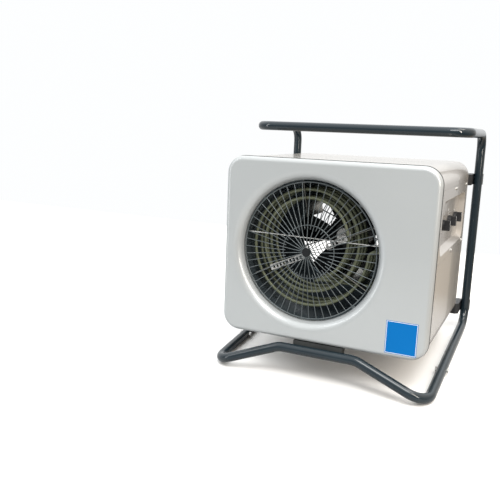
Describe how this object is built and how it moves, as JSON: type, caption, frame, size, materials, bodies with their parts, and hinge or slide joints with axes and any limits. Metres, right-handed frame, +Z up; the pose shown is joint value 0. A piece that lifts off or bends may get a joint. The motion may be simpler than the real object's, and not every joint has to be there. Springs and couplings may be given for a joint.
{
  "type": "forced air heater",
  "caption": "Portable electric fan heater: silver-grey sheet steel box with a round wire-guarded outlet, side knobs and a slate tube carrying frame.",
  "frame": {"origin": "on the floor, under the middle of the bounding box", "axes": "+Z up, -Y towards the outlet side, +X towards the control panel's side"},
  "size_m": [0.58, 0.6116, 0.6031],
  "materials": {
    "panel_paint": "satin",
    "grille_steel": "satin",
    "drum_steel": "satin",
    "element_metal": "satin",
    "bright_steel": "satin",
    "fan_metal": "satin",
    "motor_metal": "satin",
    "black_plastic": "matte",
    "pale_plastic": "satin",
    "pad_rubber": "matte",
    "frame_paint": "gloss",
    "zinc_steel": "satin",
    "label_film": "gloss"
  },
  "bodies": {
    "heater": {"front_panel": "panel_paint", "top_cover": "panel_paint", "base_shell": "panel_paint", "control_panel": "panel_paint", "rear_panel": "panel_paint", "outlet_grille": "grille_steel", "rear_guard": "grille_steel", "heat_drum": "drum_steel", "fan_shroud": "drum_steel", "partition_plate": "drum_steel", "motor_pedestal": "drum_steel", "motor_support_strap": "drum_steel", "front_heating_element": "element_metal", "middle_heating_element": "element_metal", "rear_heating_element": "element_metal", "element_support_strips": "bright_steel", "element_comb_plates": "bright_steel", "overheat_sensor_tube": "bright_steel", "motor_bearings": "bright_steel", "din_rail": "bright_steel", "splice_sleeves": "bright_steel", "motor_stator": "bright_steel", "motor_screws": "bright_steel", "motor_body": "motor_metal", "motor_front_cap": "motor_metal", "motor_rear_cap": "motor_metal", "heat_switch": "black_plastic", "fan_switch": "black_plastic", "thermostat_body": "black_plastic", "reset_switch": "black_plastic", "heater_contactors": "black_plastic", "cable_gland": "black_plastic", "gland_nut": "black_plastic", "upper_left_bracket": "black_plastic", "upper_right_bracket": "black_plastic", "lower_left_bracket": "black_plastic", "lower_right_bracket": "black_plastic", "terminal_block": "pale_plastic", "front_support_pad": "pad_rubber", "rear_frame_tube": "frame_paint", "front_foot_tube": "frame_paint", "seam_screws": "zinc_steel", "rear_panel_screws": "zinc_steel", "bracket_screws": "zinc_steel", "bracket_bolts": "zinc_steel", "splice_bolts": "zinc_steel", "front_pad_bolts": "zinc_steel", "front_label": "label_film"},
    "fan_rotor": {"fan_wheel": "fan_metal", "fan_hub": "bright_steel", "fan_nut": "bright_steel", "motor_shaft": "bright_steel", "motor_rotor": "bright_steel"},
    "heat_selector": {"heat_knob": "black_plastic", "heat_spindle": "bright_steel"},
    "fan_selector": {"fan_knob": "black_plastic", "fan_spindle": "bright_steel"},
    "thermostat_dial": {"thermostat_knob": "black_plastic", "thermostat_spindle": "bright_steel"},
    "reset_plunger": {"reset_button": "pale_plastic"}
  },
  "joints": [
    {"name": "fan_spin", "type": "hinge", "parent": "heater", "child": "fan_rotor", "pos_m": [-0.043, 0.07277, 0.28392], "axis": [0, 0.994, -0.1092], "continuous": true},
    {"name": "heat_knob_turn", "type": "hinge", "parent": "heater", "child": "heat_selector", "pos_m": [0.255, -0.11134, 0.38463], "axis": [-1, 0, 0], "range_deg": [0, 135]},
    {"name": "fan_knob_turn", "type": "hinge", "parent": "heater", "child": "fan_selector", "pos_m": [0.255, -0.01193, 0.37371], "axis": [-1, 0, 0], "range_deg": [0, 90]},
    {"name": "thermostat_knob_turn", "type": "hinge", "parent": "heater", "child": "thermostat_dial", "pos_m": [0.255, 0.08349, 0.36323], "axis": [-1, 0, 0], "range_deg": [0, 270]},
    {"name": "reset_button_press", "type": "slide", "parent": "heater", "child": "reset_plunger", "axis": [-1, 0, 0], "range_m": [0, 0.002], "stiffness_N_per_m": 300, "springref_m": -0.002}
  ]
}
